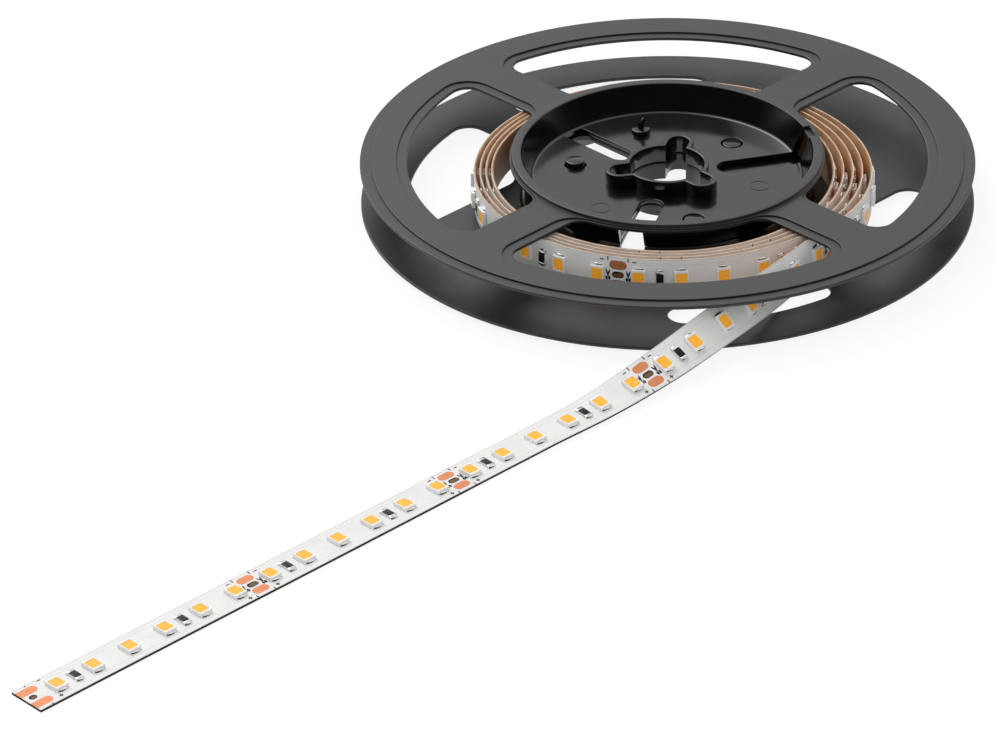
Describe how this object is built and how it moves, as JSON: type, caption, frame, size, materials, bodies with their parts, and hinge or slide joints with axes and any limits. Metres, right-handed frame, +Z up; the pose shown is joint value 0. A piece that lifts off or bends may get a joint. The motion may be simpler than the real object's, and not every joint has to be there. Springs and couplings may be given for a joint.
{
  "type": "led strip light reel",
  "caption": "Black two-part plastic reel with windowed flanges, holding a loose winding of white LED strip whose free end runs out and lies flat beside it.",
  "frame": {"origin": "centre of the reel's underside, on the surface that it lies on", "axes": "+Z up along the reel's axis; the strip leaves the reel at the front (-Y) right and its free end runs to the front left (-X, -Y)"},
  "size_m": [0.1837, 0.2438, 0.012],
  "materials": {
    "reel_plastic": "fine satin texture on the outer faces",
    "strip_board": "white solder mask over a flexible board, brown tape behind",
    "led_package": "white body with a yellow phosphor window",
    "resistor_body": "black glaze with tinned ends"
  },
  "bodies": {
    "root": {"upper_reel_half": "reel_plastic", "lower_reel_half": "reel_plastic", "wound_strip": "strip_board", "free_strip": "strip_board", "led_01": "led_package", "led_02": "led_package", "led_03": "led_package", "led_04": "led_package", "led_05": "led_package", "led_06": "led_package", "led_07": "led_package", "led_08": "led_package", "led_09": "led_package", "led_10": "led_package", "led_11": "led_package", "led_12": "led_package", "led_13": "led_package", "led_14": "led_package", "led_15": "led_package", "led_16": "led_package", "led_17": "led_package", "led_18": "led_package", "led_19": "led_package", "led_20": "led_package", "led_21": "led_package", "led_22": "led_package", "led_46": "led_package", "led_47": "led_package", "led_48": "led_package", "led_49": "led_package", "led_50": "led_package", "led_51": "led_package", "led_52": "led_package", "led_53": "led_package", "resistor_01": "resistor_body", "resistor_02": "resistor_body", "resistor_03": "resistor_body", "resistor_04": "resistor_body", "resistor_05": "resistor_body", "resistor_06": "resistor_body", "resistor_07": "resistor_body", "resistor_08": "resistor_body"}
  },
  "joints": []
}
